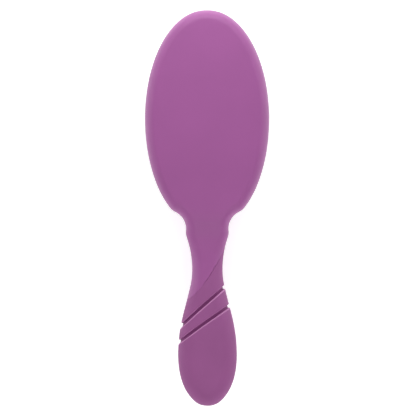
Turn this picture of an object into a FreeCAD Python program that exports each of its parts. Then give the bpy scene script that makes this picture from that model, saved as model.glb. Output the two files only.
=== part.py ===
"""Detangling brush: an oval paddle head on a waisted handle, with an air cushion of ball-tipped pins.

Units are millimetres. The brush lies with its pins down: z = 0 is the plane of the ball tips,
+Y runs along the handle towards the head, +Z is the back of the brush.
"""
import math
import os

import FreeCAD
import Part
import Sketcher

V = FreeCAD.Vector
doc = FreeCAD.newDocument("detangling_brush")

# ------------------------------------------------------------------ driving dimensions
sheet = doc.addObject("Spreadsheet::Sheet", "dims")
row_no = [0]
value = {}


def cell(alias, number, note=""):
    row_no[0] += 1
    n = row_no[0]
    sheet.set("A%d" % n, alias.replace("_", " "))
    sheet.set("B%d" % n, repr(float(number)))
    sheet.setAlias("B%d" % n, alias)
    if note:
        sheet.set("C%d" % n, note)
    value[alias] = float(number)


# outline of the brush, right half, from the top of the head to the end of the handle
OUTLINE = [
    (0.0, 111.0), (4.0, 110.68), (8.1, 109.55), (12.4, 107.4), (16.8, 103.95), (20.5, 99.9),
    (24.98, 93.2), (28.25, 86.4), (30.65, 79.7), (32.45, 72.9), (33.7, 66.1), (34.48, 59.4),
    (34.87, 50.9), (34.63, 42.5), (33.97, 35.7), (32.87, 28.9), (31.28, 22.2), (29.12, 15.4),
    (26.87, 10.0), (25.0, 6.4), (23.4, 3.7), (21.85, 1.45), (20.75, 0.0), (20.05, -0.78),
    (19.3, -1.4), (18.25, -2.0), (17.15, -2.6), (15.95, -3.45), (14.58, -4.7), (13.4, -6.4),
    (12.6, -8.1), (12.13, -9.8), (11.96, -11.3), (12.01, -12.75), (12.08, -13.85),
    (11.95, -14.95), (11.62, -16.25), (11.0, -18.3), (10.25, -21.0), (9.45, -24.5), (8.9, -28.3),
    (8.6, -32.2), (8.57, -35.6), (8.82, -39.2), (9.38, -42.7), (10.15, -46.1), (11.25, -50.6),
    (12.4, -55.0), (13.5, -59.2), (14.42, -63.2), (15.22, -67.4), (15.85, -71.5), (16.25, -75.6),
    (16.46, -79.5), (16.5, -83.0), (16.3, -87.2), (15.78, -91.4), (15.0, -95.0), (13.92, -98.4),
    (12.42, -101.75), (10.3, -105.05), (7.3, -108.35), (4.2, -110.28), (0.0, -111.0),
]
for i, (px, py) in enumerate(OUTLINE, 1):
    cell("edge_x_%02d" % i, px)
    cell("edge_y_%02d" % i, py)

# stations along the brush: back crest, widest level, front crest, rounding width behind and in front
STATIONS = [
    (111.0, 37.04, 28.5, 22.5, 5.5, 1.8),
    (4.0, 37.04, 28.5, 22.5, 5.5, 1.8),
    (-2.0, 36.85, 28.45, 22.5, 5.5, 1.9),
    (-7.0, 36.3, 28.3, 22.45, 5.5, 2.3),
    (-12.0, 35.5, 28.1, 22.3, 5.5, 3.2),
    (-17.5, 35.05, 27.95, 21.9, 5.6, 4.4),
    (-23.0, 35.2, 27.85, 21.4, 5.9, 5.4),
    (-30.0, 35.65, 27.8, 20.9, 6.3, 6.2),
    (-38.0, 36.15, 27.8, 20.4, 6.6, 6.6),
    (-48.0, 36.7, 27.8, 19.8, 7.2, 7.4),
    (-60.0, 37.15, 27.8, 19.0, 7.8, 8.4),
    (-72.0, 37.42, 27.8, 18.3, 8.0, 9.2),
    (-84.0, 37.5, 27.8, 18.0, 8.0, 9.6),
    (-111.0, 37.5, 27.8, 18.0, 8.0, 9.6),
]
for i, st in enumerate(STATIONS, 1):
    for name, number in zip(("sta_y", "sta_back", "sta_mid", "sta_front", "sta_rback", "sta_rfront"), st):
        cell("%s_%02d" % (name, i), number)

cell("back_flat_z", 37.0, "flat back of the head")
cell("core_inset", 1.1, "depth of the handle grooves, grip thickness")
cell("core_film", 0.03, "bond line between core and grips")
cell("core_end_y", -107.4)
cell("core_top_y", -16.0)
cell("groove_width", 1.6)
cell("groove1_y", -52.7)
cell("groove1_slope", 0.87)
cell("groove2_y", -63.65)
cell("groove2_slope", 0.704)
cell("crease_y", -40.2)
cell("crease_slope", 1.3)
cell("crease_film", 0.03)
cell("cutter_len", 140.0)
cell("cutter_high", 60.0)

cell("head_y", 49.5, "centre of the head oval")
cell("head_half_w", 34.87)
cell("head_half_l", 61.5)
cell("mouth_inset", 2.6)
cell("mouth_open_z", 20.0)
cell("ledge_z", 27.2)
cell("cavity_half_w", 27.5)
cell("cavity_half_l", 49.0)
cell("cavity_y", 54.0)
cell("cavity_floor_z", 33.6)
cell("snap_groove_z", 23.8)
cell("snap_groove_h", 1.0)
cell("snap_groove_inset", 2.15)
cell("core_hole_rx", 6.5)
cell("core_hole_rz", 4.8)
cell("core_hole_z", 27.7)
cell("core_hole_y", -110.0)
cell("core_hole_len", 52.0)

cell("bezel_inset", 2.75)
cell("bezel_inner_inset", 5.0)
cell("bezel_front_z", 22.2)
cell("bezel_h", 3.1)
cell("bezel_bead_z", 23.9)
cell("bezel_bead_h", 0.8)
cell("bezel_bead_inset", 2.3)
cell("bezel_round", 0.6)

cell("dome_inset", 5.2)
cell("dome_z", 18.0, "front face of the cushion")
cell("dome_round", 4.0)
cell("skin_t", 1.8, "cushion wall")
cell("lip_inset", 2.8)
cell("lip_back_z", 27.15)
cell("lip_h", 1.8)
cell("pin_hole_r", 0.6)
cell("vent_r", 0.9)
cell("vent_x", 2.8)
cell("vent_y", 11.7)

cell("sheet_inset", 8.4)
cell("sheet_z", 21.1)
cell("sheet_t", 0.8)

cell("pin_pitch_x", 5.6)
cell("pin_pitch_y", 5.6)
cell("field_half_w", 24.4)
cell("field_half_l", 51.1)
cell("pin_tip_z", 1.25)
cell("pin_tip_r", 0.40)
cell("pin_root_r", 0.47)
cell("pin_head_z", 19.86)
cell("pin_head_r", 1.1)
cell("pin_head_t", 0.7)
cell("ball_r", 0.75)
doc.recompute()

D = dict(value)


# ------------------------------------------------------------------ the outer form as functions
def spline(ts, ys, d0, d1):
    """Cubic spline through (ts, ys) with end slopes d0 and d1; returns the slopes at the knots."""
    n = len(ts)
    h = [ts[i + 1] - ts[i] for i in range(n - 1)]
    lo, di, up, rhs = [0.0] * n, [1.0] * n, [0.0] * n, [0.0] * n
    rhs[0], rhs[-1] = d0, d1
    for i in range(1, n - 1):
        lo[i], up[i] = h[i], h[i - 1]
        di[i] = 2.0 * (h[i] + h[i - 1])
        rhs[i] = 3.0 * (h[i] * (ys[i] - ys[i - 1]) / h[i - 1] + h[i - 1] * (ys[i + 1] - ys[i]) / h[i])
    for i in range(1, n):
        w = lo[i] / di[i - 1]
        di[i] -= w * up[i - 1]
        rhs[i] -= w * rhs[i - 1]
    m = [0.0] * n
    m[-1] = rhs[-1] / di[-1]
    for i in range(n - 2, -1, -1):
        m[i] = (rhs[i] - up[i] * m[i + 1]) / di[i]
    return m


def hermite(ts, ys, ms, t):
    i = 0
    while i < len(ts) - 2 and t > ts[i + 1]:
        i += 1
    h = ts[i + 1] - ts[i]
    s = (t - ts[i]) / h
    return (ys[i] * (2 * s ** 3 - 3 * s ** 2 + 1) + h * ms[i] * (s ** 3 - 2 * s ** 2 + s)
            + ys[i + 1] * (3 * s ** 2 - 2 * s ** 3) + h * ms[i + 1] * (s ** 3 - s ** 2))


def monotone(ts, ys):
    """Slopes of a monotone cubic through rising ts."""
    n = len(ts)
    d = [(ys[i + 1] - ys[i]) / (ts[i + 1] - ts[i]) for i in range(n - 1)]
    m = [d[0]] + [0.0] * (n - 2) + [d[-1]]
    for i in range(1, n - 1):
        if d[i - 1] * d[i] > 0:
            a, b = ts[i] - ts[i - 1], ts[i + 1] - ts[i]
            w1, w2 = 2 * b + a, b + 2 * a
            m[i] = (w1 + w2) / (w1 / d[i - 1] + w2 / d[i])
    return m


n_edge = len(OUTLINE)
ex = [D["edge_x_%02d" % i] for i in range(1, n_edge + 1)]
ey = [D["edge_y_%02d" % i] for i in range(1, n_edge + 1)]
et = [0.0]
for i in range(1, n_edge):
    et.append(et[-1] + math.hypot(ex[i] - ex[i - 1], ey[i] - ey[i - 1]))
emx = spline(et, ex, 1.0, -1.0)
emy = spline(et, ey, 0.0, 0.0)


def edge_at(t):
    return hermite(et, ex, emx, t), hermite(et, ey, emy, t)


n_poly = 700
poly = [edge_at(et[-1] * k / n_poly) for k in range(n_poly + 1)]
poly[0] = (0.0, ey[0])
poly[-1] = (0.0, ey[-1])


def half_width(y):
    lo, hi = 0, n_poly
    while hi - lo > 1:
        mid = (lo + hi) // 2
        if poly[mid][1] > y:
            lo = mid
        else:
            hi = mid
    (xa, ya), (xb, yb) = poly[lo], poly[hi]
    return xa + (xb - xa) * (ya - y) / (ya - yb) if ya > yb else xb


def depth_in(x, y):
    """Distance from (x, y) to the outline."""
    x = abs(x)
    best = 1e9
    for k in range(n_poly):
        xa, ya = poly[k]
        if abs(ya - y) > 14.0 and abs(poly[k + 1][1] - y) > 14.0:
            continue
        dx, dy = poly[k + 1][0] - xa, poly[k + 1][1] - ya
        s = ((x - xa) * dx + (y - ya) * dy) / (dx * dx + dy * dy)
        s = min(1.0, max(0.0, s))
        q = (x - xa - s * dx) ** 2 + (y - ya - s * dy) ** 2
        if q < best:
            best = q
    return math.sqrt(best)


n_sta = len(STATIONS)
sy = [-D["sta_y_%02d" % i] for i in range(1, n_sta + 1)]
stations = {}
for name in ("sta_back", "sta_mid", "sta_front", "sta_rback", "sta_rfront"):
    ys = [D["%s_%02d" % (name, i)] for i in range(1, n_sta + 1)]
    stations[name] = (ys, monotone(sy, ys))


def station(name, y):
    ys, ms = stations[name]
    return hermite(sy, ys, ms, min(max(-y, sy[0]), sy[-1]))


def bulge(d, r):
    if d >= r:
        return 1.0
    return math.sqrt(max(0.0, 1.0 - (1.0 - d / r) ** 2))


TURN = [0.0, 9.0, 20.0, 33.0, 48.0, 64.0, 78.0, 90.0]
FLAT = [0.34, 0.68]


def offsets(w, r):
    """Distances from the side edge towards the axis, close together over the rounding."""
    r = min(r, 0.8 * w)
    out = [r * (1.0 - math.cos(math.radians(a))) for a in TURN]
    return out + [r + f * (w - r) for f in FLAT] + [w]


def ring(y, w, back, mid, front, rback, rfront, slope, depth):
    """Points round the brush at y, from the middle of the front by the right side; depth(x) is the distance to the outline."""
    stretch = math.sqrt(1.0 + slope * slope)
    up = offsets(w, rback * stretch)
    down = offsets(w, rfront * stretch)
    right_up = [V(w - h, y, mid + (back - mid) * bulge(depth(w - h), rback)) for h in up]
    left_up = [V(-p.x, y, p.z) for p in reversed(right_up[:-1])]
    left_down = [V(h - w, y, mid - (mid - front) * bulge(depth(w - h), rfront)) for h in down[1:]]
    right_down = [V(-p.x, y, p.z) for p in reversed(left_down[:-1])]
    return [left_down[-1]] + right_down + right_up + left_up + left_down[:-1]


def shared_steps(rows, closed):
    """Mean share of each step along the rows, summed from 0 to 1."""
    n = len(rows[0])
    m = n if closed else n - 1
    share = [0.0] * m
    for r in rows:
        steps = [(r[(i + 1) % n] - r[i]).Length for i in range(m)]
        whole = sum(steps)
        for i in range(m):
            share[i] += steps[i] / whole
    out = [0.0]
    for a in share:
        out.append(out[-1] + a / len(rows))
    return out


def solid_through(rings):
    """Smooth closed surface through the rings, with a flat face at each end."""
    us = shared_steps(rings, True)
    poles = []
    for r in rings:
        c = Part.BSplineCurve()
        c.interpolate(r, PeriodicFlag=True, Parameters=us)
        poles.append(c.getPoles())
        uk, um = c.getKnots(), c.getMultiplicities()
    lines = [[p[j] for p in poles] for j in range(len(poles[0]))]
    vs = shared_steps(lines, False)
    net = []
    for line in lines:
        c = Part.BSplineCurve()
        c.interpolate(line, Parameters=vs)
        net.append(c.getPoles())
        vk, vm = c.getKnots(), c.getMultiplicities()
    surface = Part.BSplineSurface()
    surface.buildFromPolesMultsKnots(net, um, vm, uk, vk, True, False, 3, 3)
    face = surface.toShape()
    ends = [Part.Face(Part.Wire([e])) for e in face.Edges if e.isClosed() and e.BoundBox.YLength < 1e-4]
    solid = Part.Solid(Part.Shell([face] + ends))
    solid.fix(0.0001, 0.0001, 0.001)
    return solid


def skin_ring(y):
    w = half_width(y)
    e = 0.05
    slope = (half_width(y + e) - half_width(y - e)) / (2 * e)
    slope = max(-6.0, min(6.0, slope))
    return ring(y, w, station("sta_back", y), station("sta_mid", y), station("sta_front", y),
                station("sta_rback", y), station("sta_rfront", y), slope, lambda x: depth_in(x, y))


def skin_levels():
    ys = [110.9, 110.3, 109.3, 107.8, 105.8, 103.2, 100.0, 96.0, 91.0, 85.0, 78.0, 70.0, 61.0, 51.0,
          41.0, 32.0, 24.0, 17.0, 11.0, 6.5, 3.4, 1.4, 0.2, -0.7, -1.4, -2.1, -3.0, -4.2, -5.8, -7.6,
          -9.4, -11.2, -12.6, -13.7, -14.6, -15.7, -17.2, -19.2, -22.0, -26.0, -31.0, -36.0, -41.0,
          -47.0, -53.0, -60.0, -67.0, -74.0, -81.0, -87.0, -92.0, -96.0, -99.5, -102.5, -105.0,
          -107.2, -109.0, -110.2, -110.9]
    return ys


def core_ring(y, inset):
    end = D["core_end_y"] - (D["core_inset"] - inset)
    top = -82.6
    w = half_width(y) - inset
    if y < top:
        w = (half_width(top) - inset) * math.sqrt(max(0.0, 1.0 - ((y - top) / (end - top)) ** 2))
    back, mid, front = station("sta_back", y), station("sta_mid", y), station("sta_front", y)
    rb = max(2.0, station("sta_rback", y) - inset)
    rf = max(2.0, station("sta_rfront", y) - inset)
    round_end = 1.0
    if y < top:
        u = (y - top) / (end - top)
        round_end = (1.0 - u ** 4) ** 0.25
    hb, hf = (back - inset - mid) * round_end, (mid - front - inset) * round_end
    return ring(y, w, mid + hb, mid, mid - hf, rb, rf, 0.0, lambda x: w - abs(x))


def core_levels(inset):
    end = D["core_end_y"] - (D["core_inset"] - inset)
    return [D["core_top_y"], -20.0, -25.0, -31.0, -37.0, -43.0, -50.0, -57.0, -64.0, -71.0, -78.0, -84.0,
            -89.0, -93.5, -97.0, -100.0, -102.5, -104.6, end + 1.1, end + 0.35]


skin = doc.addObject("Part::Feature", "outer_form")
skin.Shape = solid_through([skin_ring(y) for y in skin_levels()])
core = doc.addObject("Part::Feature", "core_form")
core.Shape = solid_through([core_ring(y, D["core_inset"]) for y in core_levels(D["core_inset"])])
fill = D["core_inset"] - D["core_film"]
core_cut = doc.addObject("Part::Feature", "core_space")
core_cut.Shape = solid_through([core_ring(y, fill) for y in core_levels(fill)])


# ------------------------------------------------------------------ cuts along the handle
def half_space(name, y_alias, slope_alias, shift):
    """Box that fills everything on the handle side of a slanting plane; shift moves it towards the handle end."""
    box = doc.addObject("Part::Box", name)
    box.setExpression("Length", "dims.cutter_len")
    box.setExpression("Width", "dims.cutter_len")
    box.setExpression("Height", "dims.cutter_high")
    ang = math.degrees(math.atan(D[slope_alias]))
    turn = FreeCAD.Rotation(V(0, 0, 1), ang)
    corner = V(0, D[y_alias], 0) + turn.multVec(V(-D["cutter_len"] / 2, -D["cutter_len"] - shift, 0))
    box.Placement = FreeCAD.Placement(corner, turn)
    return box


half_g = D["groove_width"] / 2
below_crease = half_space("below_crease", "crease_y", "crease_slope", 0.0)
below_crease_film = half_space("below_crease_film", "crease_y", "crease_slope", D["crease_film"])
below_g1_top = half_space("below_groove1_top", "groove1_y", "groove1_slope", -half_g)
below_g1_low = half_space("below_groove1_low", "groove1_y", "groove1_slope", half_g)
below_g2_top = half_space("below_groove2_top", "groove2_y", "groove2_slope", -half_g)
below_g2_low = half_space("below_groove2_low", "groove2_y", "groove2_slope", half_g)


def boolean(kind, name, base, tool):
    ob = doc.addObject(kind, name)
    ob.Base, ob.Tool = base, tool
    return ob


neck = boolean("Part::Cut", "neck_and_head_form", skin, below_crease)
body_form = boolean("Part::Fuse", "body_form", neck, core)
top_block = doc.addObject("Part::Box", "above_back")
top_block.setExpression("Length", "2*dims.head_half_w+20")
top_block.setExpression("Width", "2*dims.head_half_l")
top_block.Height = 10
top_block.Placement = FreeCAD.Placement(V(-D["head_half_w"] - 10, -2.0, D["back_flat_z"]), FreeCAD.Rotation())
flat_form = boolean("Part::Cut", "flat_backed_form", body_form, top_block)

sleeve = boolean("Part::Cut", "grip_sleeve", skin, core_cut)
collar_span = boolean("Part::Cut", "collar_span", below_crease_film, below_g1_top)
grip_collar = boolean("Part::Common", "grip_collar", sleeve, collar_span)
band_span = boolean("Part::Cut", "band_span", below_g1_low, below_g2_top)
grip_band = boolean("Part::Common", "grip_band", sleeve, band_span)
grip_pommel = boolean("Part::Common", "grip_pommel", sleeve, below_g2_low)
doc.recompute()


# ------------------------------------------------------------------ helpers for bodies
def origin_of(body, role):
    return [o for o in body.Origin.OriginFeatures if o.Role == role][0]


def sketch_on(body, name, role, offset_expr):
    sk = body.newObject("Sketcher::SketchObject", name)
    sk.AttachmentSupport = [(origin_of(body, role), "")]
    sk.MapMode = "FlatFace"
    sk.setExpression("AttachmentOffset.Base.z", offset_expr)
    return sk


def add_oval(sk, cy_expr, hw_expr, hl_expr):
    """Ellipse on the lengthwise axis of the sketch, long axis along y."""
    first = sk.GeometryCount
    g = sk.addGeometry(Part.Ellipse(V(0, 60 + 49.5, 0), V(30, 49.5, 0), V(0, 49.5, 0)), False)
    sk.exposeInternalGeometry(g)
    major, minor = g + 1, g + 2
    sk.addConstraint(Sketcher.Constraint("Vertical", major))
    sk.addConstraint(Sketcher.Constraint("PointOnObject", g, 3, -2))
    c = sk.addConstraint(Sketcher.Constraint("DistanceY", -1, 1, g, 3, 49.5))
    sk.setExpression("Constraints[%d]" % c, cy_expr)
    c = sk.addConstraint(Sketcher.Constraint("Distance", major, 120.0))
    sk.setExpression("Constraints[%d]" % c, "2*(%s)" % hl_expr)
    c = sk.addConstraint(Sketcher.Constraint("Distance", minor, 60.0))
    sk.setExpression("Constraints[%d]" % c, "2*(%s)" % hw_expr)
    return g


def head_oval(sk, inset_expr):
    return add_oval(sk, "dims.head_y", "dims.head_half_w-(%s)" % inset_expr, "dims.head_half_l-(%s)" % inset_expr)


def pad(body, name, sk, length_expr, up=True):
    f = body.newObject("PartDesign::Pad", name)
    f.Profile = sk
    f.setExpression("Length", length_expr)
    f.Reversed = not up
    body.Tip = f
    doc.recompute()
    return f


def pocket(body, name, sk, length_expr, up):
    f = body.newObject("PartDesign::Pocket", name)
    f.Profile = sk
    f.setExpression("Length", length_expr)
    f.Reversed = up
    body.Tip = f
    doc.recompute()
    return f


def edges_at(shape, z, tol=0.02):
    out = []
    for i, e in enumerate(shape.Edges, 1):
        b = e.BoundBox
        if abs(b.ZMin - z) < tol and abs(b.ZMax - z) < tol:
            out.append(("Edge%d" % i, e.Length))
    return out


def fillet(body, name, base, names, radius_expr):
    f = body.newObject("PartDesign::Fillet", name)
    f.Base = (base, names)
    f.setExpression("Radius", radius_expr)
    body.Tip = f
    doc.recompute()
    return f


# ------------------------------------------------------------------ paddle, neck and handle core
paddle = doc.addObject("PartDesign::Body", "paddle_body")
paddle.BaseFeature = flat_form
doc.recompute()
sk = sketch_on(paddle, "mouth_sketch", "XY_Plane", "dims.mouth_open_z")
head_oval(sk, "dims.mouth_inset")
pocket(paddle, "mouth", sk, "dims.ledge_z-dims.mouth_open_z", True)
sk = sketch_on(paddle, "cavity_sketch", "XY_Plane", "dims.ledge_z-1")
add_oval(sk, "dims.cavity_y", "dims.cavity_half_w", "dims.cavity_half_l")
pocket(paddle, "cavity", sk, "dims.cavity_floor_z-dims.ledge_z+1", True)
sk = sketch_on(paddle, "snap_sketch", "XY_Plane", "dims.snap_groove_z")
head_oval(sk, "dims.snap_groove_inset")
pocket(paddle, "snap_groove", sk, "dims.snap_groove_h", True)
sk = sketch_on(paddle, "core_hole_sketch", "XZ_Plane", "-dims.core_hole_y")
g = sk.addGeometry(Part.Ellipse(V(7, 27.7, 0), V(0, 32.7, 0), V(0, 27.7, 0)), False)
sk.exposeInternalGeometry(g)
sk.addConstraint(Sketcher.Constraint("Horizontal", g + 1))
sk.addConstraint(Sketcher.Constraint("PointOnObject", g, 3, -2))
for kind, index, expr in (("DistanceY", None, "dims.core_hole_z"), ("Distance", g + 1, "2*dims.core_hole_rx"),
                          ("Distance", g + 2, "2*dims.core_hole_rz")):
    if index is None:
        c = sk.addConstraint(Sketcher.Constraint(kind, -1, 1, g, 3, 27.7))
    else:
        c = sk.addConstraint(Sketcher.Constraint(kind, index, 10.0))
    sk.setExpression("Constraints[%d]" % c, expr)
pocket(paddle, "core_hole", sk, "dims.core_hole_len", False)

# ------------------------------------------------------------------ snap-in ring round the cushion
bezel = doc.addObject("PartDesign::Body", "cushion_bezel")
sk = sketch_on(bezel, "ring_sketch", "XY_Plane", "dims.bezel_front_z")
head_oval(sk, "dims.bezel_inset")
head_oval(sk, "dims.bezel_inner_inset")
ring = pad(bezel, "ring", sk, "dims.bezel_h")
sk = sketch_on(bezel, "bead_sketch", "XY_Plane", "dims.bezel_bead_z")
head_oval(sk, "dims.bezel_bead_inset")
head_oval(sk, "dims.bezel_inner_inset")
bead = pad(bezel, "bead", sk, "dims.bezel_bead_h")
fillet(bezel, "ring_round", bead, [n for n, _ in edges_at(bead.Shape, D["bezel_front_z"])], "dims.bezel_round")

# ------------------------------------------------------------------ pins: where they stand
rows = []
for k in range(-4, 5):
    x = k * D["pin_pitch_x"]
    reach = D["field_half_l"] * math.sqrt(1.0 - (x / D["field_half_w"]) ** 2)
    shift = 0.5 if k % 2 else 0.0
    n = int(math.floor(reach / D["pin_pitch_y"] - shift + 1e-9))
    count = 2 * (n + 1) if shift else 2 * n + 1
    first = D["head_y"] - (count - 1) * D["pin_pitch_y"] / 2
    rows.append((k, x, first, count))
print("pins per row", [r[3] for r in rows], "total", sum(r[3] for r in rows))
pins = [(x, first + i * D["pin_pitch_y"]) for k, x, first, count in rows for i in range(count)]

# ------------------------------------------------------------------ cushion
cushion = doc.addObject("PartDesign::Body", "cushion")
sk = sketch_on(cushion, "dome_sketch", "XY_Plane", "dims.dome_z")
head_oval(sk, "dims.dome_inset")
dome = pad(cushion, "dome", sk, "dims.lip_back_z-dims.dome_z")
dome_r = fillet(cushion, "dome_edge", dome, [n for n, _ in edges_at(dome.Shape, D["dome_z"])], "dims.dome_round")
sk = sketch_on(cushion, "lip_sketch", "XY_Plane", "dims.lip_back_z")
head_oval(sk, "dims.lip_inset")
lip = pad(cushion, "lip", sk, "dims.lip_h", up=False)
sk = sketch_on(cushion, "inside_sketch", "XY_Plane", "dims.lip_back_z")
head_oval(sk, "dims.dome_inset+dims.skin_t")
inside = pocket(cushion, "inside", sk, "dims.lip_back_z-dims.dome_z-dims.skin_t", False)
inner = [n for n, _ in edges_at(inside.Shape, D["dome_z"] + D["skin_t"])]
inside_r = fillet(cushion, "inside_edge", inside, inner, "dims.dome_round-dims.skin_t")
sk = sketch_on(cushion, "pin_hole_sketch", "XY_Plane", "dims.dome_z-1")
for i, (x, y) in enumerate(pins):
    g = sk.addGeometry(Part.Circle(V(x, y, 0), V(0, 0, 1), D["pin_hole_r"]), False)
g = sk.addGeometry(Part.Circle(V(D["vent_x"], D["vent_y"], 0), V(0, 0, 1), D["vent_r"]), False)
c = sk.addConstraint(Sketcher.Constraint("Radius", g, D["vent_r"]))
sk.setExpression("Constraints[%d]" % c, "dims.vent_r")
before = inside_r.Shape.Volume
holes = pocket(cushion, "pin_holes", sk, "dims.skin_t+2", True)
print("pin holes take", round(before - holes.Shape.Volume, 2), "mm3, expected",
      round(math.pi * D["skin_t"] * (len(pins) * D["pin_hole_r"] ** 2 + D["vent_r"] ** 2), 2))

# ------------------------------------------------------------------ sheet behind the pin heads
backing = doc.addObject("PartDesign::Body", "backing_sheet")
sk = sketch_on(backing, "sheet_sketch", "XY_Plane", "dims.sheet_z")
head_oval(sk, "dims.sheet_inset")
pad(backing, "sheet_pad", sk, "dims.sheet_t")
sk = sketch_on(backing, "sheet_vent_sketch", "XY_Plane", "dims.sheet_z-1")
g = sk.addGeometry(Part.Circle(V(D["vent_x"], D["vent_y"], 0), V(0, 0, 1), D["vent_r"]), False)
c = sk.addConstraint(Sketcher.Constraint("Radius", g, D["vent_r"]))
sk.setExpression("Constraints[%d]" % c, "dims.vent_r")
pocket(backing, "sheet_vent", sk, "dims.sheet_t+2", True)


# ------------------------------------------------------------------ pins and ball tips, row by row
def profile(body, name, points):
    sk = body.newObject("Sketcher::SketchObject", name)
    sk.AttachmentSupport = [(origin_of(body, "XZ_Plane"), "")]
    sk.MapMode = "FlatFace"
    n = len(points)
    at = [V(size_of(px), size_of(pz), 0) for px, pz in points]
    for i in range(n):
        sk.addGeometry(Part.LineSegment(at[i], at[(i + 1) % n]), False)
    for i in range(n):
        sk.addConstraint(Sketcher.Constraint("Coincident", i, 2, (i + 1) % n, 1))
    for i, (px, pz) in enumerate(points):
        if px == "0":
            sk.addConstraint(Sketcher.Constraint("PointOnObject", i, 1, -2))
        else:
            c = sk.addConstraint(Sketcher.Constraint("DistanceX", -1, 1, i, 1, size_of(px)))
            sk.setExpression("Constraints[%d]" % c, px)
        c = sk.addConstraint(Sketcher.Constraint("DistanceY", -1, 1, i, 1, size_of(pz)))
        sk.setExpression("Constraints[%d]" % c, pz)
    return sk


def size_of(expr):
    total = 0.0
    for term in expr.replace("-", "+-").split("+"):
        term = term.strip()
        if not term:
            continue
        sign = -1.0 if term.startswith("-") else 1.0
        term = term.lstrip("-").strip()
        total += sign * (D[term[5:]] if term.startswith("dims.") else float(term))
    return total


def row_pattern(body, feature, count):
    rowp = body.newObject("PartDesign::LinearPattern", "along_row")
    rowp.Originals = [feature]
    rowp.Direction = (origin_of(body, "Y_Axis"), [""])
    rowp.Occurrences = count
    rowp.setExpression("Length", "%d*dims.pin_pitch_y" % (count - 1))
    body.Tip = rowp
    return rowp


def place_row(body, k, first, count):
    body.setExpression("Placement.Base.x", "%d*dims.pin_pitch_x" % k)
    body.setExpression("Placement.Base.y", "dims.head_y-%s*dims.pin_pitch_y" % repr((count - 1) / 2))


made = []
for number, (k, x, first, count) in enumerate(rows, 1):
    pin = doc.addObject("PartDesign::Body", "bristles_row_%02d" % number)
    sk = profile(pin, "pin_profile", [
        ("0", "dims.pin_tip_z"), ("dims.pin_tip_r", "dims.pin_tip_z"), ("dims.pin_root_r", "dims.pin_head_z"),
        ("dims.pin_head_r", "dims.pin_head_z"), ("dims.pin_head_r", "dims.pin_head_z+dims.pin_head_t"),
        ("0", "dims.pin_head_z+dims.pin_head_t")])
    turn = pin.newObject("PartDesign::Revolution", "pin")
    turn.Profile = sk
    turn.ReferenceAxis = (sk, ["V_Axis"])
    turn.Angle = 360
    row_pattern(pin, turn, count)
    place_row(pin, k, first, count)
    made.append(pin)

    ball = doc.addObject("PartDesign::Body", "bristle_tips_%02d" % number)
    sk = ball.newObject("Sketcher::SketchObject", "ball_profile")
    sk.AttachmentSupport = [(origin_of(ball, "XZ_Plane"), "")]
    sk.MapMode = "FlatFace"
    r, zt = D["ball_r"], D["pin_tip_z"]
    rim = math.sqrt(r * r - (zt - r) ** 2)
    sk.addGeometry(Part.ArcOfCircle(Part.Circle(V(0, r, 0), V(0, 0, 1), r), -math.pi / 2, math.asin((zt - r) / r)), False)
    sk.addGeometry(Part.LineSegment(V(rim, zt, 0), V(0, zt, 0)), False)
    sk.addGeometry(Part.LineSegment(V(0, zt, 0), V(0, 0, 0)), False)
    sk.addConstraint(Sketcher.Constraint("Coincident", 0, 2, 1, 1))
    sk.addConstraint(Sketcher.Constraint("Coincident", 1, 2, 2, 1))
    sk.addConstraint(Sketcher.Constraint("Coincident", 2, 2, 0, 1))
    sk.addConstraint(Sketcher.Constraint("Coincident", 2, 2, -1, 1))
    sk.addConstraint(Sketcher.Constraint("PointOnObject", 0, 3, -2))
    sk.addConstraint(Sketcher.Constraint("PointOnObject", 1, 2, -2))
    sk.addConstraint(Sketcher.Constraint("Horizontal", 1))
    c = sk.addConstraint(Sketcher.Constraint("Radius", 0, r))
    sk.setExpression("Constraints[%d]" % c, "dims.ball_r")
    c = sk.addConstraint(Sketcher.Constraint("DistanceY", -1, 1, 1, 2, zt))
    sk.setExpression("Constraints[%d]" % c, "dims.pin_tip_z")
    turn = ball.newObject("PartDesign::Revolution", "ball")
    turn.Profile = sk
    turn.ReferenceAxis = (sk, ["V_Axis"])
    turn.Angle = 360
    row_pattern(ball, turn, count)
    place_row(ball, k, first, count)
    made.append(ball)

doc.recompute()

# ------------------------------------------------------------------ checks and files
parts = [paddle, grip_collar, grip_band, grip_pommel, bezel, cushion, backing] + made
bad = []
for ob in doc.Objects:
    if any(s in ("Invalid", "Error") for s in ob.State):
        bad.append("%s: %s" % (ob.Name, ob.State))
for ob in parts:
    ob.Label = ob.Name
    s = ob.Shape
    if s.isNull() or not s.isValid() or not s.Solids:
        bad.append("%s: shape null or not valid" % ob.Name)
if bad:
    raise SystemExit("not built: " + "; ".join(bad))
os.makedirs("parts", exist_ok=True)
for ob in parts:
    ob.Shape.exportStep("parts/%s.step" % ob.Label)
    b = ob.Shape.BoundBox
    print("%-18s solids %3d  vol %9.1f  x %7.2f %7.2f  y %7.2f %7.2f  z %6.2f %6.2f" % (
        ob.Label, len(ob.Shape.Solids), ob.Shape.Volume, b.XMin, b.XMax, b.YMin, b.YMax, b.ZMin, b.ZMax))
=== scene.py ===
"""Looks of the detangling brush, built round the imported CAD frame. Lengths in the tables are millimetres."""

import math

import bmesh
import bpy
import numpy as np
from mathutils import Matrix, Vector
from mathutils.kdtree import KDTree


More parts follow.
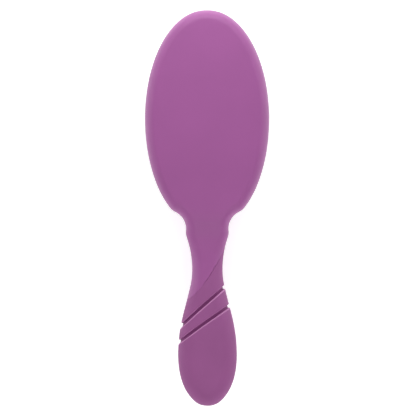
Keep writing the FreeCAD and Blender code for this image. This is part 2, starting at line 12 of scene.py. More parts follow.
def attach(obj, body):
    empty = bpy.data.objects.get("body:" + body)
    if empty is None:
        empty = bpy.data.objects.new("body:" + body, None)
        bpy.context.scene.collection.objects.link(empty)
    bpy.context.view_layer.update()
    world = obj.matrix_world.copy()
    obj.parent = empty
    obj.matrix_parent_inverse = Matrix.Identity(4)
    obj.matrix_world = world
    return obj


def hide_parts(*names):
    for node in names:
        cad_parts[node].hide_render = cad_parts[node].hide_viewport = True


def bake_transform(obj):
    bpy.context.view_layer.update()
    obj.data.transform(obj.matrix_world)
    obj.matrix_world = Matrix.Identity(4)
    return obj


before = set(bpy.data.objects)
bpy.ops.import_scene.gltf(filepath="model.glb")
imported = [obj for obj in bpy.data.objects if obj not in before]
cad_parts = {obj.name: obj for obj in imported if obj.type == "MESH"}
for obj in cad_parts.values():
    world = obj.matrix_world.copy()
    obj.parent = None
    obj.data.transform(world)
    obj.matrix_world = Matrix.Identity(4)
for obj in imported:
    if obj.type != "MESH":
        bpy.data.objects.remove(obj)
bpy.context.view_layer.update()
scene = bpy.context.scene
MM = 0.001

# ------------------------------------------------------------------ outer form of the brush
OUTLINE = [
    (0.0, 111.0), (4.0, 110.68), (8.1, 109.55), (12.4, 107.4), (16.8, 103.95), (20.5, 99.9),
    (24.98, 93.2), (28.25, 86.4), (30.65, 79.7), (32.45, 72.9), (33.7, 66.1), (34.48, 59.4),
    (34.87, 50.9), (34.63, 42.5), (33.97, 35.7), (32.87, 28.9), (31.28, 22.2), (29.12, 15.4),
    (26.87, 10.0), (25.0, 6.4), (23.4, 3.7), (21.85, 1.45), (20.75, 0.0), (20.05, -0.78),
    (19.3, -1.4), (18.25, -2.0), (17.15, -2.6), (15.95, -3.45), (14.58, -4.7), (13.4, -6.4),
    (12.6, -8.1), (12.13, -9.8), (11.96, -11.3), (12.01, -12.75), (12.08, -13.85),
    (11.95, -14.95), (11.62, -16.25), (11.0, -18.3), (10.25, -21.0), (9.45, -24.5), (8.9, -28.3),
    (8.6, -32.2), (8.57, -35.6), (8.82, -39.2), (9.38, -42.7), (10.15, -46.1), (11.25, -50.6),
    (12.4, -55.0), (13.5, -59.2), (14.42, -63.2), (15.22, -67.4), (15.85, -71.5), (16.25, -75.6),
    (16.46, -79.5), (16.5, -83.0), (16.3, -87.2), (15.78, -91.4), (15.0, -95.0), (13.92, -98.4),
    (12.42, -101.75), (10.3, -105.05), (7.3, -108.35), (4.2, -110.28), (0.0, -111.0),
]
# y, back crest, widest level, front crest, rounding width behind, rounding width in front
STATIONS = [
    (111.0, 37.0, 28.5, 22.5, 5.5, 1.8),
    (4.0, 37.0, 28.5, 22.5, 5.5, 1.8),
    (-2.0, 36.83, 28.45, 22.5, 5.5, 1.9),
    (-7.0, 36.3, 28.3, 22.45, 5.5, 2.3),
    (-12.0, 35.25, 28.1, 22.3, 5.5, 3.2),
    (-17.5, 34.5, 27.95, 21.9, 5.6, 4.4),
    (-23.0, 34.55, 27.85, 21.4, 5.9, 5.4),
    (-30.0, 35.15, 27.8, 20.9, 6.3, 6.2),
    (-38.0, 35.85, 27.8, 20.4, 6.6, 6.6),
    (-48.0, 36.6, 27.8, 19.8, 7.2, 7.4),
    (-60.0, 37.15, 27.8, 19.0, 7.8, 8.4),
    (-72.0, 37.42, 27.8, 18.3, 8.0, 9.2),
    (-84.0, 37.5, 27.8, 18.0, 8.0, 9.6),
    (-111.0, 37.5, 27.8, 18.0, 8.0, 9.6),
]
HEAD_Y, HEAD_W, HEAD_L = 49.5, 34.87, 61.5


def spline_slopes(ts, ys, d0, d1):
    n = len(ts)
    h = np.diff(ts)
    a = np.zeros((n, n))
    b = np.zeros(n)
    a[0, 0] = a[-1, -1] = 1.0
    b[0], b[-1] = d0, d1
    for i in range(1, n - 1):
        a[i, i - 1], a[i, i], a[i, i + 1] = h[i], 2 * (h[i] + h[i - 1]), h[i - 1]
        b[i] = 3 * (h[i] * (ys[i] - ys[i - 1]) / h[i - 1] + h[i - 1] * (ys[i + 1] - ys[i]) / h[i])
    return np.linalg.solve(a, b)


def hermite(ts, ys, ms, t):
    t = np.asarray(t, float)
    i = np.clip(np.searchsorted(ts, t) - 1, 0, len(ts) - 2)
    h = ts[i + 1] - ts[i]
    s = (t - ts[i]) / h
    return (ys[i] * (2 * s**3 - 3 * s**2 + 1) + h * ms[i] * (s**3 - 2 * s**2 + s)
            + ys[i + 1] * (3 * s**2 - 2 * s**3) + h * ms[i + 1] * (s**3 - s**2))


def monotone_slopes(ts, ys):
    d = np.diff(ys) / np.diff(ts)
    m = np.zeros(len(ts))
    m[0], m[-1] = d[0], d[-1]
    for i in range(1, len(ts) - 1):
        if d[i - 1] * d[i] > 0:
            a, b = ts[i] - ts[i - 1], ts[i + 1] - ts[i]
            w1, w2 = 2 * b + a, b + 2 * a
            m[i] = (w1 + w2) / (w1 / d[i - 1] + w2 / d[i])
    return m


edge = np.array(OUTLINE)
edge_t = np.concatenate([[0.0], np.cumsum(np.hypot(*np.diff(edge, axis=0).T))])
emx = spline_slopes(edge_t, edge[:, 0], 1.0, -1.0)
emy = spline_slopes(edge_t, edge[:, 1], 0.0, 0.0)
fine_t = np.linspace(0.0, edge_t[-1], 5001)
right = np.stack([hermite(edge_t, edge[:, 0], emx, fine_t), hermite(edge_t, edge[:, 1], emy, fine_t)], 1)
right[0, 0] = right[-1, 0] = 0.0
loop = np.concatenate([right, (right * [-1.0, 1.0])[-2:0:-1]])
tree = KDTree(len(loop))
for i, p in enumerate(loop):
    tree.insert((p[0], p[1], 0.0), i)
tree.balance()


def half_width(y):
    return np.interp(-np.asarray(y, float), -right[:, 1], right[:, 0])


def depth_in(x, y):
    """Distance of points to the outline."""
    x, y = np.broadcast_arrays(np.asarray(x, float), np.asarray(y, float))
    flat = np.stack([x.ravel(), y.ravel()], 1)
    near = np.array([tree.find((p[0], p[1], 0.0))[1] for p in flat])
    n = len(loop)
    best = np.full(len(flat), 1e9)
    for k in (-1, 0):
        a, b = loop[(near + k) % n], loop[(near + k + 1) % n]
        ab = b - a
        s = np.clip(((flat - a) * ab).sum(1) / np.maximum((ab * ab).sum(1), 1e-12), 0, 1)
        best = np.minimum(best, np.hypot(*(flat - a - s[:, None] * ab).T))
    return best.reshape(x.shape)


sta = np.array(STATIONS)
sta_y = -sta[:, 0]
sta_m = [monotone_slopes(sta_y, sta[:, c]) for c in range(1, 6)]


def station(c, y):
    return hermite(sta_y, sta[:, c], sta_m[c - 1], np.clip(-np.asarray(y, float), sta_y[0], sta_y[-1]))


def bulge(d, r):
    return np.sqrt(np.clip(1.0 - np.clip(1.0 - d / r, 0.0, 1.0) ** 2, 0.0, 1.0))


def crease(x):
    return -39.9 + 1.42 * x + 0.0379 * x**2 + 0.000157 * x**3


def groove1(x):
    return -52.45 + 0.863 * x - 0.0018 * x**2


def groove2(x):
    return -63.1 + 0.697 * x - 0.0018 * x**2


ACROSS = 97
XI_UP = np.cos(np.linspace(0, math.pi, ACROSS))
XI = np.concatenate([XI_UP, -XI_UP[1:-1]])
UP = np.concatenate([np.ones(ACROSS, bool), np.zeros(ACROSS - 2, bool)])


def skin_row(line):
    """One closed row of points round the brush; line(x) gives y."""
    y = np.full(len(XI), float(np.asarray(line(np.zeros(1)))[0]))
    for _ in range(14):
        x = XI * half_width(y)
        y = 0.5 * y + 0.5 * np.broadcast_to(line(x), x.shape)
    x = XI * half_width(y)
    d = depth_in(x, y)
    d[np.abs(XI) > 1 - 1e-9] = 0.0
    back, mid, front = station(1, y), station(2, y), station(3, y)
    z = np.where(UP, mid + (back - mid) * bulge(d, station(4, y)), mid - (mid - front) * bulge(d, station(5, y)))
    return np.stack([x, y, z], 1)


def flat_line(y):
    return lambda x: y + 0.0 * x


def between(a, b, t):
    return lambda x: (1 - t) * a(x) + t * b(x)


def shifted(a, dy):
    return lambda x: a(x) + dy


def ease(n, a=0.0, b=1.0):
    return [a + (b - a) * i / (n - 1) for i in range(n)]


G_HALF = 0.82                      # half width of a groove, across it
COS1 = 1 / math.hypot(1, 0.863)
COS2 = 1 / math.hypot(1, 0.697)
COSC = 1 / math.hypot(1, 1.42)
DEEP = 1.1                         # depth of the grooves
LIP_UP, LIP_LOW = 0.3, 0.8        # edge rounding above and below a groove


def lip_rows(curve, cosine, start, sign, radius, steps=7):
    """(line, inward offset) pairs from the wall of a groove out to the full surface; radius may be a function of x.
    sign +1 goes towards the head, -1 towards the end of the handle."""
    size = radius if callable(radius) else (lambda x: radius + 0.0 * x)
    out = []
    for k in range(steps):
        a = math.pi / 2 * k / (steps - 1)
        c, d = 1 - math.cos(a), 1 - math.sin(a)
        out.append((lambda x, c=c: curve(x) + sign * (start + size(x) * c) / cosine, lambda x, d=d: size(x) * d))
    return out


head_rows = []
for k in range(1, 17):
    head_rows.append(111.0 - 5.5 * (1 - math.cos(math.pi / 2 * k / 16)))
head_rows += list(np.arange(104.2, 1.9, -1.25))
head_rows += list(np.arange(1.5, -5.0, -0.28))
head_rows += list(np.arange(-5.3, -16.2, -0.5))
rows_a = [(flat_line(y), 0.0) for y in head_rows]
last_flat = flat_line(head_rows[-1])


def seam_edge(x):
    """Rounding of the two edges at the seam above the grip: open on the right half, almost closed at the left and at the edge."""
    return 0.05 + 0.4 * np.clip((x + 4.5) / 6.0, 0.0, 1.0) ** 1.2 * np.clip((8.2 - x) / 2.6, 0.0, 1.0)


seam_up = lip_rows(crease, COSC, 0.012, +1, seam_edge, 6)
rows_b = [(between(last_flat, seam_up[-1][0], t), 0.0) for t in ease(34)[1:-1]] + list(reversed(seam_up))

g1_up = lip_rows(groove1, COS1, G_HALF, +1, LIP_UP)
g1_low = lip_rows(groove1, COS1, G_HALF, -1, LIP_LOW)
g2_up = lip_rows(groove2, COS2, G_HALF, +1, LIP_UP)
g2_low = lip_rows(groove2, COS2, G_HALF, -1, LIP_LOW)
seam_low = lip_rows(crease, COSC, 0.012, -1, seam_edge, 6)

rows_c = seam_low + [(between(seam_low[-1][0], g1_up[-1][0], t), 0.0) for t in ease(26)[1:-1]] + list(reversed(g1_up))
rows_d = g1_low + [(between(g1_low[-1][0], g2_up[-1][0], t), 0.0) for t in ease(18)[1:-1]] + list(reversed(g2_up))
tail_line = flat_line(-94.0)
rows_e = g2_low + [(between(g2_low[-1][0], tail_line, t), 0.0) for t in ease(30)[1:-1]]
tail = list(np.arange(-94.0, -102.8, -0.8))
tail += [-111.0 + 8.0 * (1 - math.cos(math.pi / 2 * k / 18)) for k in range(18, 0, -1)]
rows_e += [(flat_line(y), 0.0) for y in tail]

g1_floor = [(shifted(groove1, k * G_HALF / COS1), 0.0) for k in (1.0, 0.0, -1.0)]
g2_floor = [(shifted(groove2, k * G_HALF / COS2), 0.0) for k in (1.0, 0.0, -1.0)]


def normals(grid):
    """Outward unit normals of rows of closed rings."""
    tu = np.roll(grid, -1, 1) - np.roll(grid, 1, 1)
    tv = np.gradient(grid, axis=0)
    n = np.cross(tv, tu)
    n /= np.maximum(np.linalg.norm(n, axis=2, keepdims=True), 1e-12)
    centre = grid.mean(1, keepdims=True)
    if ((grid - centre) * n).sum() < 0:
        n = -n
    return n


def surface(rows):
    """Points of the rows on the skin, their normals and their stated offsets."""
    grid = np.stack([skin_row(line) for line, _ in rows])
    drop = np.stack([d(g[:, 0]) if callable(d) else np.full(len(g), d) for (_, d), g in zip(rows, grid)])
    return grid, normals(grid), drop[:, :, None]


def mesh_from_rings(name, rings, start=None, end=None, wrap=False):
    """Quads between closed rings; a point may close either end, or the rows may close on themselves."""
    rings = [np.asarray(r) for r in rings]
    c = len(rings[0])
    verts = np.concatenate(rings) * MM
    faces = []
    count = len(rings)
    for i in range(count if wrap else count - 1):
        a, b = i * c, ((i + 1) % count) * c
        for j in range(c):
            k = (j + 1) % c
            faces.append((a + j, b + j, b + k, a + k))
    verts = [tuple(v) for v in verts]
    if start is not None:
        verts.append(tuple(np.asarray(start) * MM))
        s = len(verts) - 1
        faces += [(s, j, (j + 1) % c) for j in range(c)]
    if end is not None:
        verts.append(tuple(np.asarray(end) * MM))
        s = len(verts) - 1
        a = (count - 1) * c
        faces += [(s, a + (j + 1) % c, a + j) for j in range(c)]
    return object_from(name, verts, faces)


def object_from(name, verts, faces):
    mesh = bpy.data.meshes.new(name)
    mesh.from_pydata(verts, [], faces)
    mesh.validate()
    ob = bpy.data.objects.new(name, mesh)
    scene.collection.objects.link(ob)
    bm = bmesh.new()
    bm.from_mesh(mesh)
    bmesh.ops.recalc_face_normals(bm, faces=bm.faces)
    bm.to_mesh(mesh)
    bm.free()
    mesh.polygons.foreach_set("use_smooth", [True] * len(mesh.polygons))
    return ob


def sharpen(ob, degrees):
    ob.data.set_sharp_from_angle(angle=math.radians(degrees))


# ------------------------------------------------------------------ paddle with its neck and the core of the handle
outer_a, norm_a, drop_a = surface(rows_a + rows_b)
skin_a = outer_a - norm_a * drop_a
core_lines = [rows_c[0]] + rows_c[4:-7:3] + g1_floor + rows_d[7:-7:3] + g2_floor + rows_e[7:-14:2]
core_grid, core_norm, _ = surface([(line, 0.0) for line, _ in core_lines])
core = core_grid - core_norm * DEEP
paddle = mesh_from_rings("paddle_skin", list(skin_a) + list(core), start=(0, 111.0, 28.5), end=(0, -107.4, 27.8))


def oval_ring(inset, z, n=192):
    a = np.linspace(0, 2 * math.pi, n, endpoint=False)
    return np.stack([(HEAD_W - inset) * np.cos(a), HEAD_Y + (HEAD_L - inset) * np.sin(a), np.full(n, z)], 1)


cutter = mesh_from_rings("mouth_cutter", [oval_ring(2.1, 18.0), oval_ring(2.1, 22.45), oval_ring(2.2, 22.6), oval_ring(2.38, 22.77),
                                          oval_ring(2.6, 23.05), oval_ring(2.6, 27.2)],
                         start=(0, HEAD_Y, 18.0), end=(0, HEAD_Y, 27.2))
cut = paddle.modifiers.new("mouth", "BOOLEAN")
cut.operation = "DIFFERENCE"
cut.solver = "MANIFOLD"
cut.object = cutter
bpy.context.view_layer.update()
made = bpy.data.meshes.new_from_object(paddle.evaluated_get(bpy.context.evaluated_depsgraph_get()))
paddle.modifiers.clear()
old = paddle.data
paddle.data = made
bpy.data.meshes.remove(old)
bpy.data.objects.remove(cutter)
paddle.data.polygons.foreach_set("use_smooth", [True] * len(paddle.data.polygons))
sharpen(paddle, 50)
centres = np.zeros(len(paddle.data.polygons) * 3)
paddle.data.polygons.foreach_get("center", centres)
centres = centres.reshape(-1, 3) / MM
in_grip = (centres[:, 1] < -20.0) & (centres[:, 1] < crease(centres[:, 0]) - 0.05)
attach(paddle, "brush")
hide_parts("paddle_body")


# ------------------------------------------------------------------ the three soft grips
def sleeve(name, rows, node):
    grid, norm, drop = surface(rows)
    outside = grid - norm * drop
    inside = grid - norm * (DEEP - 0.03)
    ob = mesh_from_rings(name, list(outside) + list(inside[::-1][:1]) + list(inside[::-1][1:-1:3]) + list(inside[:1]), wrap=True)
    sharpen(ob, 60)
    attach(ob, "brush")
    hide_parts(node)
    return ob


collar = sleeve("grip_collar_skin", rows_c, "grip_collar")
band = sleeve("grip_band_skin", rows_d, "grip_band")
grid_e, norm_e, drop_e = surface(rows_e)
inner_e = (grid_e - norm_e * (DEEP - 0.03))[: len(rows_e) - 12]
inner_rows = list(inner_e[:0:-1][::3]) + [inner_e[0]]
pommel = mesh_from_rings("grip_pommel_skin", inner_rows + list(grid_e - norm_e * drop_e),
                         start=(0, -108.0, 27.8), end=(0, -111.0, 27.8))
sharpen(pommel, 60)
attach(pommel, "brush")
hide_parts("grip_pommel")

# ------------------------------------------------------------------ pins
PITCH = 5.6
ROW_COUNT = [7, 14, 17, 18, 19, 18, 17, 14, 7]
CROWN = 0.45
HINGE = 18.9                       # height about which a row of pins leans
BALL = 2.3                         # radius of the rubber root of a pin, round the same height


def face_z(x, y):
    """Front face of the cushion, a little crowned."""
    q = (x / 25.67) ** 2 + ((y - HEAD_Y) / 52.3) ** 2
    return 18.0 - CROWN * (1 - q) * (q < 1)


def turned(name, places, profile, segments):
    """Copies of one turned profile [(radius, z)], closed on its axis at both ends where the radius is 0."""
    a = np.linspace(0, 2 * math.pi, segments, endpoint=False)
    verts, faces = [], []
    for x, y, dz in places:
        base = len(verts)
        rings = []
        for r, z in profile:
            if r < 1e-6:
                rings.append([len(verts)])
                verts.append((x * MM, y * MM, (z + dz) * MM))
            else:
                rings.append(list(range(len(verts), len(verts) + segments)))
                verts += [((x + r * math.cos(t)) * MM, (y + r * math.sin(t)) * MM, (z + dz) * MM) for t in a]
        for p, q in zip(rings, rings[1:]):
            for j in range(segments):
                k = (j + 1) % segments
                if len(p) == 1:
                    faces.append((p[0], q[k], q[j]))
                elif len(q) == 1:
                    faces.append((p[j], p[k], q[0]))
                else:
                    faces.append((p[j], p[k], q[k], q[j]))
    return object_from(name, verts, faces)


def turned_ring(name, places, profile, segments):
    """Copies of one turned ring, its profile [(radius, z)] closed on itself."""
    a = np.linspace(0, 2 * math.pi, segments, endpoint=False)
    verts, faces = [], []
    count = len(profile)
    for x, y in places:
        base = len(verts)
        for r, z in profile:
            verts += [((x + r * math.cos(t)) * MM, (y + r * math.sin(t)) * MM, z * MM) for t in a]
        for i in range(count):
            p, q = base + i * segments, base + (i + 1) % count * segments
            for j in range(segments):
                k = (j + 1) % segments
                faces.append((p + j, p + k, q + k, q + j))
    return object_from(name, verts, faces)


def ball_point(degrees, radius=BALL):
    """Point of a ball round the hinge height, by its angle from straight down."""
    a = math.radians(degrees)
    return radius * math.sin(a), HINGE - radius * math.cos(a)


# rubber root of a pin: a ball seated in the cushion, with a short collar round the pin
root_profile = [(0.5, 16.3), (0.62, 16.26), (0.71, 16.32), (0.76, 16.46), (0.80, 16.6), (0.88, 16.7), (1.0, 16.79)]
root_profile += [ball_point(d) for d in (28, 35, 42, 49, 56, 63, 70, 76, 81)]
root_profile += [(2.1, HINGE - 0.3), (0.75, HINGE - 0.3), (0.5, HINGE - 0.6)]

pin_profile = [(0.0, 1.25), (0.36, 1.25), (0.40, 1.4), (0.415, 6.0), (0.435, 12.0), (0.47, 17.5), (0.47, 20.1), (1.0, 20.12), (1.1, 20.22),
               (1.1, 20.62), (1.0, 20.74), (0.0, 20.74)]
tip_profile = [(0.0, 0.0)]
for k in range(1, 10):
    a = math.radians(-90 + k * 14.5)
    tip_profile.append((0.75 * math.cos(a), 0.75 + 0.75 * math.sin(a)))
tip_profile += [(0.46, 1.36), (0.425, 1.5), (0.415, 1.62), (0.0, 1.62)]
pin_objects, tip_objects, root_objects = [], [], []
pin_places = []
for number, count in enumerate(ROW_COUNT, 1):
    x = (number - 5) * PITCH
    ys = [HEAD_Y + (i - (count - 1) / 2) * PITCH for i in range(count)]
    places = [(x, y, 0.0) for y in ys]
    pin_places += places
    pins = turned("pins_%02d" % number, places, pin_profile, 12)
    sharpen(pins, 40)
    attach(pins, "row_%02d" % number)
    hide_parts("bristles_row_%02d" % number)
    pin_objects.append(pins)
    tips = turned("balls_%02d" % number, places, tip_profile, 14)
    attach(tips, "row_%02d" % number)
    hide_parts("bristle_tips_%02d" % number)
    tip_objects.append(tips)
    roots = turned_ring("cushion_roots_%02d" % number, [(x, y) for y in ys], root_profile, 20)
    sharpen(roots, 50)
    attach(roots, "row_%02d" % number)
    root_objects.append(roots)

# ------------------------------------------------------------------ cushion
def combine(ob, other, operation):
    """Boolean of two closed meshes, applied to the first; the second is removed."""
    m = ob.modifiers.new("join", "BOOLEAN")
    m.operation = operation
    m.solver = "MANIFOLD"
    m.object = other
    bpy.context.view_layer.update()
    mesh = bpy.data.meshes.new_from_object(ob.evaluated_get(bpy.context.evaluated_depsgraph_get()))
    ob.modifiers.clear()
    before = ob.data
    ob.data = mesh
    bpy.data.meshes.remove(before)
    bpy.data.objects.remove(other)


ang = np.linspace(0, 2 * math.pi, 192, endpoint=False)


def face_ring(s, z=None):
    x, y = s * 25.67 * np.cos(ang), HEAD_Y + s * 52.3 * np.sin(ang)
    return np.stack([x, y, face_z(x, y) if z is None else np.full(len(ang), z)], 1)


rings = [face_ring(s, 19.8) for s in (0.12, 0.35, 0.6, 0.85)]
inside_wall = [(9.2 - 2.2 * math.cos(math.radians(a)), 22.0 - 2.2 * math.sin(math.radians(a))) for a in (90, 72, 54, 36, 18, 0)]
profile = inside_wall + [(7.0, 24.5), (7.0, 26.95), (6.85, 27.1), (2.95, 27.1), (2.8, 26.95), (2.8, 25.6), (2.95, 25.42), (4.6, 25.4), (5.05, 25.2),
                         (5.2, 24.8), (5.2, 23.4), (5.2, 22.0)]
profile += [(9.2 - 4.0 * math.cos(math.radians(10 * k)), 22.0 - 4.0 * math.sin(math.radians(10 * k))) for k in range(1, 10)]
rings += [oval_ring(i, z) for i, z in profile]
rings += [face_ring(s) for s in (0.93, 0.85, 0.75, 0.63, 0.5, 0.36, 0.22, 0.09)]
cushion = mesh_from_rings("cushion_dome", rings, start=(0, HEAD_Y, 19.8), end=(0, HEAD_Y, 18.0 - CROWN))
combine(cushion, turned("cushion_vent", [(2.8, 11.7, float(face_z(2.8, 11.7)))],
                        [(0.0, 0.5), (1.75, 0.5), (1.75, 0.02), (1.62, -0.16), (1.35, -0.24), (1.1, -0.2), (0.0, -0.2)], 24), "UNION")
socket = [(0.0, HINGE - BALL - 0.04)] + [ball_point(d, BALL + 0.04) for d in (10, 20, 30, 38, 46, 54, 62, 70, 78, 85, 90)]
socket += [(BALL + 0.04, 19.14), (0.74, 19.14), (0.74, 21.0), (0.0, 21.0)]
combine(cushion, turned("root_sockets", pin_places, socket, 20), "DIFFERENCE")
combine(cushion, turned("vent_hole", [(2.8, 11.7, 0.0)], [(0.0, 14.0), (0.9, 14.0), (0.9, 21.0), (0.0, 21.0)], 24), "DIFFERENCE")
cushion.data.polygons.foreach_set("use_smooth", [True] * len(cushion.data.polygons))
sharpen(cushion, 50)
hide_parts("cushion")
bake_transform(cushion)

# ------------------------------------------------------------------ bezel that clamps the cushion
bezel_profile = [(2.9, 25.27), (2.77, 25.15), (2.75, 24.95), (2.75, 22.95), (2.79, 22.68), (2.92, 22.45), (3.14, 22.3), (3.45, 22.22), (3.8, 22.2),
                 (4.15, 22.22), (4.48, 22.3), (4.74, 22.46), (4.92, 22.7), (5.0, 23.0), (5.0, 25.12), (4.88, 25.27)]
bezel = mesh_from_rings("bezel_ring", [oval_ring(i, z) for i, z in bezel_profile], wrap=True)
sharpen(bezel, 50)
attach(bezel, "brush")
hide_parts("cushion_bezel")


# ------------------------------------------------------------------ materials
def material(name, base, roughness, spec=0.5, spread=0.06, grain=0.00025, bump=0.08, rough_spread=0.08, sheen=0.0, sheen_tint=(1, 1, 1), sheen_rough=0.5,
             coat=0.0, subsurface=0.0, transmission=0.0, mottle=0.012):
    m = bpy.data.materials.new(name)
    m.use_nodes = True
    nt = m.node_tree
    nodes, links = nt.nodes, nt.links
    b = nodes["Principled BSDF"]
    where = nodes.new("ShaderNodeTexCoord")
    large = nodes.new("ShaderNodeTexNoise")
    large.inputs["Scale"].default_value = 1.0 / mottle
    large.inputs["Detail"].default_value = 3.0
    links.new(where.outputs["Object"], large.inputs["Vector"])
    tone = nodes.new("ShaderNodeValToRGB")
    lo = [c * (1 - spread) for c in base]
    hi = [min(1.0, c * (1 + spread)) for c in base]
    tone.color_ramp.elements[0].position = 0.3
    tone.color_ramp.elements[0].color = (*lo, 1)
    tone.color_ramp.elements[1].position = 0.7
    tone.color_ramp.elements[1].color = (*hi, 1)
    links.new(large.outputs["Fac"], tone.inputs["Fac"])
    links.new(tone.outputs["Color"], b.inputs["Base Color"])
    fine = nodes.new("ShaderNodeTexNoise")
    fine.inputs["Scale"].default_value = 1.0 / grain
    fine.inputs["Detail"].default_value = 2.0
    links.new(where.outputs["Object"], fine.inputs["Vector"])
    rough = nodes.new("ShaderNodeMapRange")
    rough.inputs["From Min"].default_value = 0.3
    rough.inputs["From Max"].default_value = 0.7
    rough.inputs["To Min"].default_value = max(0.02, roughness - rough_spread)
    rough.inputs["To Max"].default_value = min(1.0, roughness + rough_spread)
    links.new(fine.outputs["Fac"], rough.inputs["Value"])
    links.new(rough.outputs["Result"], b.inputs["Roughness"])
    lift = nodes.new("ShaderNodeBump")
    lift.inputs["Strength"].default_value = bump
    lift.inputs["Distance"].default_value = grain * 0.4
    links.new(fine.outputs["Fac"], lift.inputs["Height"])
    links.new(lift.outputs["Normal"], b.inputs["Normal"])
    b.inputs["Specular IOR Level"].default_value = spec
    b.inputs["Sheen Weight"].default_value = sheen
    b.inputs["Sheen Tint"].default_value = (*sheen_tint, 1)
    b.inputs["Sheen Roughness"].default_value = sheen_rough
    b.inputs["Coat Weight"].default_value = coat
    b.inputs["Transmission Weight"].default_value = transmission
    if subsurface:
        b.inputs["Subsurface Weight"].default_value = subsurface
        b.inputs["Subsurface Radius"].default_value = (1.0, 0.5, 0.8)
        b.inputs["Subsurface Scale"].default_value = 0.0008
    return m


shell_mat = material("soft_touch_shell", (0.357, 0.0938, 0.312), 0.52, spec=0.4, spread=0.03, grain=0.0004, bump=0.12,
                     sheen=0.17, sheen_tint=(1.0, 0.82, 0.95), sheen_rough=0.4, mottle=0.03)
grip_mat = material("grip_elastomer", (0.3213, 0.0945, 0.2727), 0.7, spec=0.22, spread=0.04, grain=0.00045, bump=0.2,
                    sheen=0.04, sheen_tint=(1.0, 0.85, 0.95), sheen_rough=0.5, mottle=0.02)
# painted highlight: a lighter copy of the grip colour on the rounded lips of the grooves, standing in for the light
# lines along them
lip_highlight_mat = material("grip_lip_painted_highlight", (0.50, 0.19, 0.43), 0.62, spec=0.3, spread=0.04, grain=0.00045, bump=0.2,
                    sheen=0.1, sheen_tint=(1.0, 0.85, 0.95), sheen_rough=0.5, mottle=0.02)
# painted shade: a darker copy of the shell colour for the core faces under the grips, which show at the groove floors
# as the shade in the grooves
core_shade_mat = material("handle_core_painted_shade", (0.245, 0.055, 0.2), 0.6, spec=0.2, spread=0.04, grain=0.0004, bump=0.15, mottle=0.01)
bezel_mat = material("bezel_satin", (0.22, 0.06, 0.19), 0.42, spec=0.5, spread=0.03, grain=0.0004, bump=0.1, mottle=0.02)
cushion_mat = material("cushion_rubber", (0.175, 0.045, 0.16), 0.6, spec=0.4, spread=0.07, grain=0.0005, bump=0.25, sheen=0.15,
                       sheen_tint=(1.0, 0.85, 0.95), mottle=0.01)
backing_mat = material("backing_cloth", (0.05, 0.045, 0.05), 0.85, spec=0.2, spread=0.2, grain=0.0004, bump=0.5, mottle=0.002)
pin_mat = material("pin_nylon", (0.27, 0.075, 0.24), 0.34, spec=0.5, spread=0.05, grain=0.0006, bump=0.05, subsurface=0.3, mottle=0.004)
tip_mat = material("tip_epoxy", (0.55, 0.3, 0.53), 0.18, spec=0.5, spread=0.04, grain=0.0005, bump=0.02, coat=0.4, subsurface=0.2, mottle=0.002)


def paint(ob, mat):
    ob.data.materials.clear()
    ob.data.materials.append(mat)


paint(paddle, shell_mat)
# the core faces under the grips take the painted shade of the groove floors
paddle.data.materials.append(core_shade_mat)
paddle.data.polygons.foreach_set("material_index", in_grip.astype(np.int32))


def paint_grip(ob, strips, count):
    """Grip material, with a lighter copy of it as painted highlight on the rounded lips of the grooves, on the given
    strips of quads; count quads in a strip.
    """
    paint(ob, grip_mat)
    ob.data.materials.append(lip_highlight_mat)
    strip = np.arange(len(ob.data.polygons)) // count
    ob.data.polygons.foreach_set("material_index", np.isin(strip, strips).astype(np.int32))


per_ring = grid_e.shape[1]
first_e = len(inner_rows)
# the lighter lip strips on each grip carry the painted highlight
paint_grip(collar, [len(rows_c) - 5, len(rows_c) - 4, len(rows_c) - 3], per_ring)
paint_grip(band, [2, 3, 4, 5, len(rows_d) - 5, len(rows_d) - 4, len(rows_d) - 3], per_ring)
paint_grip(pommel, [first_e + 2, first_e + 3, first_e + 4, first_e + 5], per_ring)
for ob in [cushion] + root_objects:
    paint(ob, cushion_mat)
for ob in pin_objects:
    paint(ob, pin_mat)
for ob in tip_objects:
    paint(ob, tip_mat)
paint(bezel, bezel_mat)
for slot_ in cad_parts["backing_sheet"].material_slots:
    slot_.material = backing_mat

# ------------------------------------------------------------------ floor, light and camera
floor_mesh = bpy.data.meshes.new("floor")
floor_mesh.from_pydata([(0.5 * math.cos(2 * math.pi * k / 96), 0.5 * math.sin(2 * math.pi * k / 96), 0) for k in range(96)], [], [tuple(range(96))])
floor = bpy.data.objects.new("floor", floor_mesh)
scene.collection.objects.link(floor)
floor_mat = bpy.data.materials.new("floor_white")
floor_mat.use_nodes = True
fb = floor_mat.node_tree.nodes["Principled BSDF"]
fb.inputs["Base Color"].default_value = (0.93, 0.93, 0.93, 1)
fb.inputs["Roughness"].default_value = 0.9
fb.inputs["Specular IOR Level"].default_value = 0.1
fb.inputs["Emission Color"].default_value = (1, 1, 1, 1)
spot = floor_mat.node_tree.nodes.new("ShaderNodeTexCoord")
reach = floor_mat.node_tree.nodes.new("ShaderNodeVectorMath")
reach.operation = "LENGTH"
rise = floor_mat.node_tree.nodes.new("ShaderNodeMapRange")   # the far floor is lit as brightly as the middle
rise.inputs["From Min"].default_value = 0.22
rise.inputs["From Max"].default_value = 0.5
rise.inputs["To Min"].default_value = 0.5
rise.inputs["To Max"].default_value = 0.74
floor_mat.node_tree.links.new(spot.outputs["Object"], reach.inputs[0])
floor_mat.node_tree.links.new(reach.outputs["Value"], rise.inputs["Value"])
floor_mat.node_tree.links.new(rise.outputs["Result"], fb.inputs["Emission Strength"])
paint(floor, floor_mat)

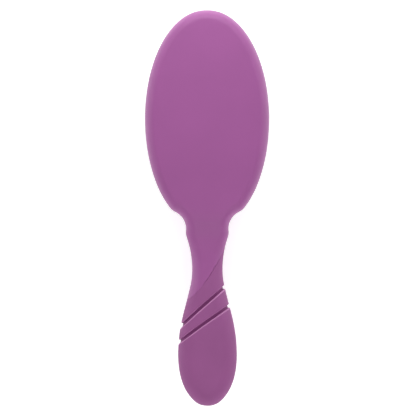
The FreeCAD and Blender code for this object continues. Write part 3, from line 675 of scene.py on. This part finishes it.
world = bpy.data.worlds.new("studio")
scene.world = world
world.use_nodes = True
sky = world.node_tree
sky.nodes["Background"].inputs["Color"].default_value = (1, 1, 1, 1)
ray = sky.nodes.new("ShaderNodeLightPath")
seen = sky.nodes.new("ShaderNodeMapRange")   # a white surround behind the floor, a dim one as light
seen.inputs["To Min"].default_value = 0.1
seen.inputs["To Max"].default_value = 1.0
sky.links.new(ray.outputs["Is Camera Ray"], seen.inputs["Value"])
sky.links.new(seen.outputs["Result"], sky.nodes["Background"].inputs["Strength"])


def area(name, place, target, size, power, size_y=None, colour=(1, 1, 1)):
    light = bpy.data.lights.new(name, "AREA")
    light.shape = "RECTANGLE"
    light.size = size
    light.size_y = size_y or size
    light.energy = power
    light.color = colour
    ob = bpy.data.objects.new(name, light)
    scene.collection.objects.link(ob)
    ob.location = place
    ob.rotation_mode = "QUATERNION"
    ob.rotation_quaternion = (Vector(target) - Vector(place)).to_track_quat("-Z", "Y")
    ob.visible_camera = False
    return ob


area("key", (0, 0.26, 0.20), (0, 0.08, 0.03), 0.35, 0.58, size_y=0.15, colour=(1.0, 1.1, 1.02))
area("top_edge", (0, 0.36, 0.09), (0, 0.11, 0.03), 0.30, 0.25, size_y=0.08)
area("left", (-0.7, 0.1, 0.25), (0, 0, 0.03), 0.5, 1.62)
area("right", (0.7, 0.1, 0.25), (0, 0, 0.03), 0.5, 1.77)
area("low", (0, -0.55, 0.30), (0, -0.05, 0.03), 0.6, 1.38, size_y=0.3)
area("handle", (0, -0.12, 0.28), (0, 0, 0.03), 0.25, 0.19, size_y=0.10)

scene.view_settings.view_transform = "Standard"
scene.view_settings.look = "None"
scene.view_settings.exposure = 0.0
scene.view_settings.gamma = 1.0

PX = 0.5611                        # millimetres of the brush in one pixel of a 416 pixel frame
LENS = 400.0
cam_data = bpy.data.cameras.new("camera")
cam_data.lens = LENS
cam_data.sensor_width = 36.0
cam = bpy.data.objects.new("camera", cam_data)
scene.collection.objects.link(cam)
cam.location = (0.43 * MM, 0.0, 0.028 + 416 * PX * MM * LENS / 36.0)
cam.rotation_euler = (0.0, 0.0, math.radians(-0.10))
cam_data.clip_start, cam_data.clip_end = 0.01, 50.0
scene.camera = cam
